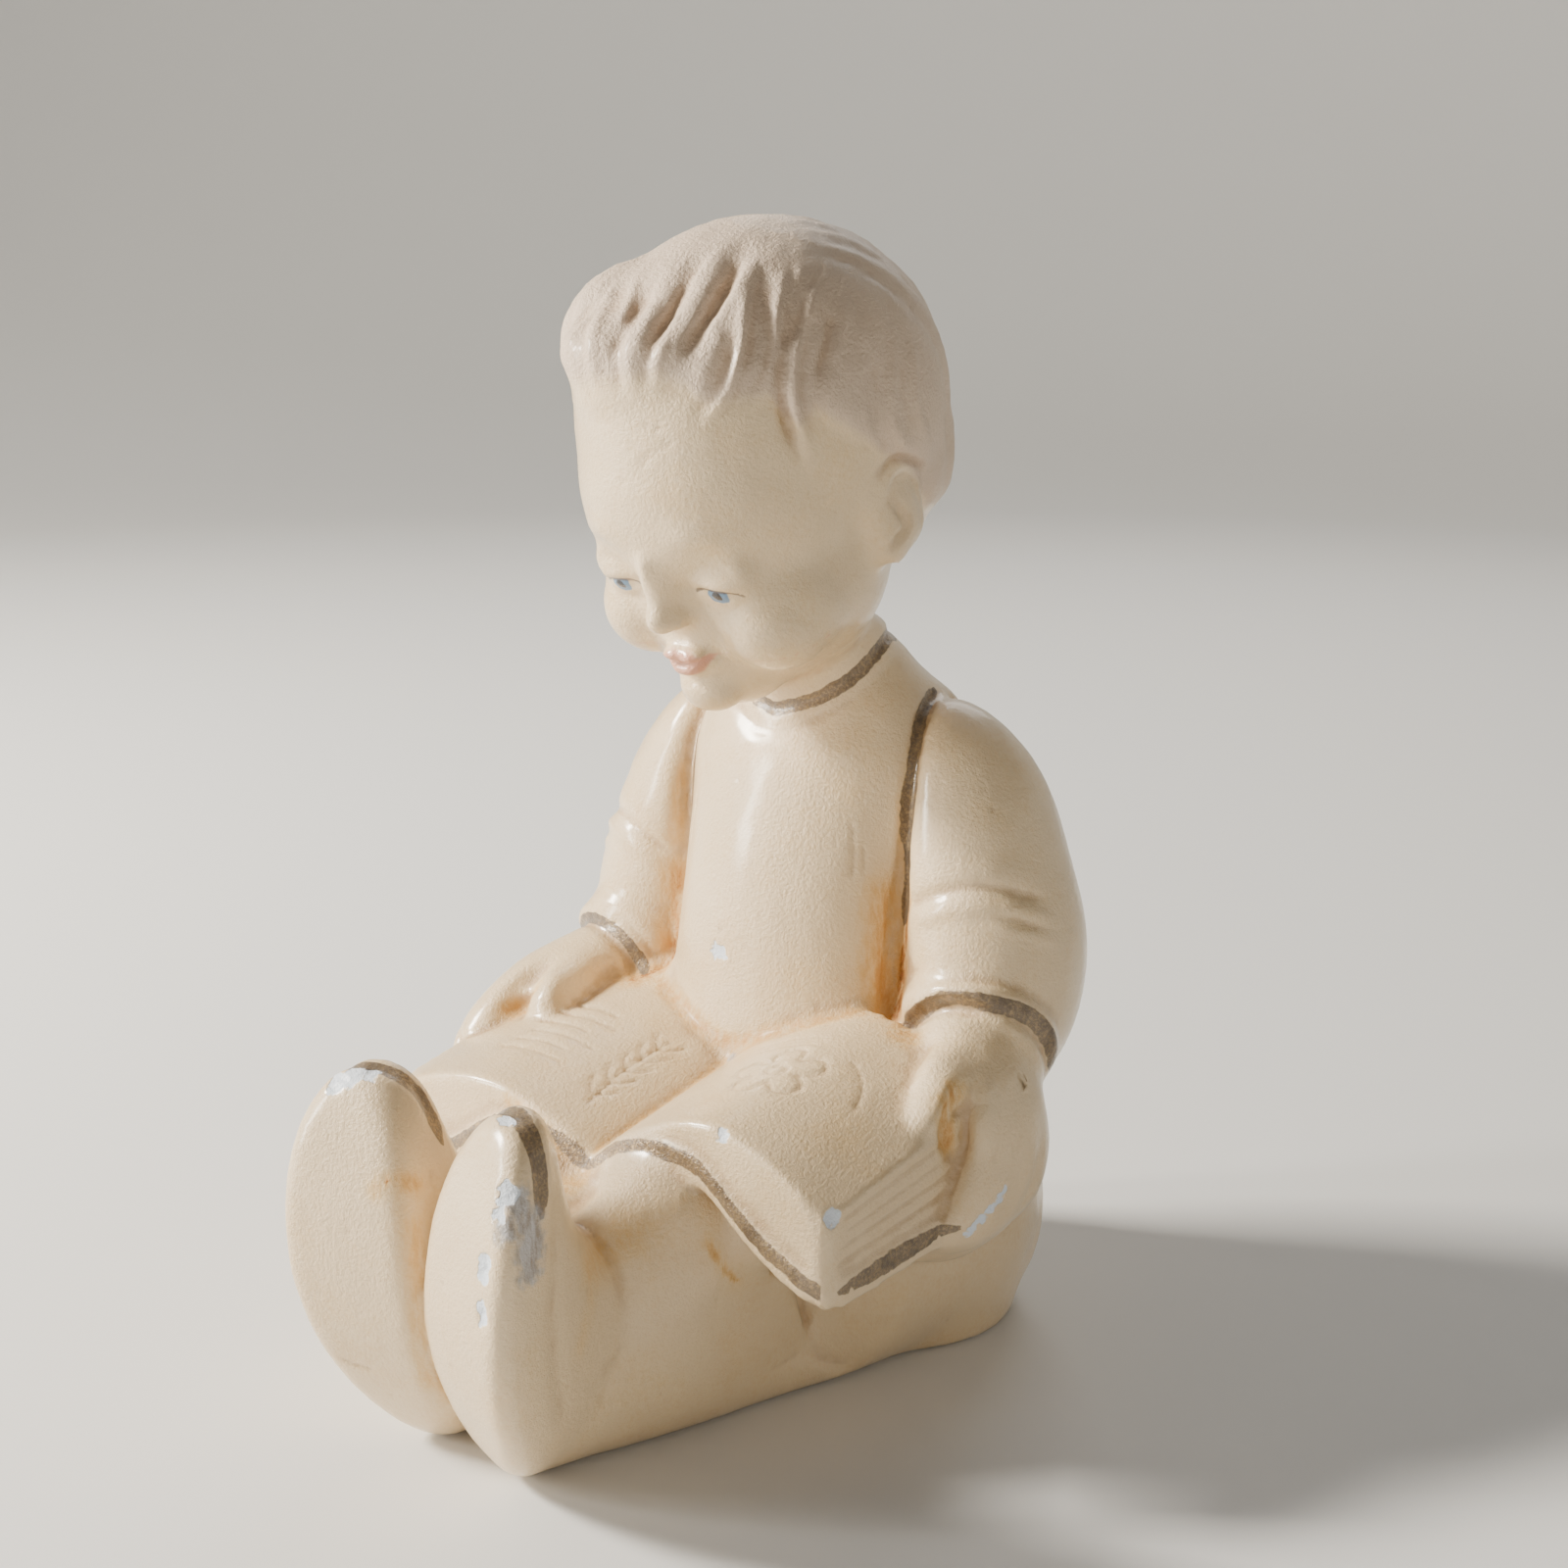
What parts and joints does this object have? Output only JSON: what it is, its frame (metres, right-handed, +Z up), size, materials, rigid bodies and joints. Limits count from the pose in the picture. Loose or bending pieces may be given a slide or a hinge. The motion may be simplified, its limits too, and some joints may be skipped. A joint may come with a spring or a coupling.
{
  "type": "seated reading child figurine",
  "caption": "Painted plaster figurine of a small seated child in a sleeper suit, legs out in front, head bowed over an open book in its lap; flat underneath.",
  "frame": {"origin": "on the flat underside, on the figure's middle plane, 35 mm behind the knees and 75 mm behind the soles", "axes": "+Z up, -Y the way the child faces and its soles point, +X to the child's left"},
  "size_m": [0.0904, 0.11, 0.154],
  "materials": {
    "painted_plaster": "cast plaster under aged cream paint with a thin satin varnish, silver-brown trim lines, orange-brown grime in the hollows and pale chips at the edges"
  },
  "bodies": {
    "root": {"reading_boy": "painted_plaster"}
  },
  "joints": []
}
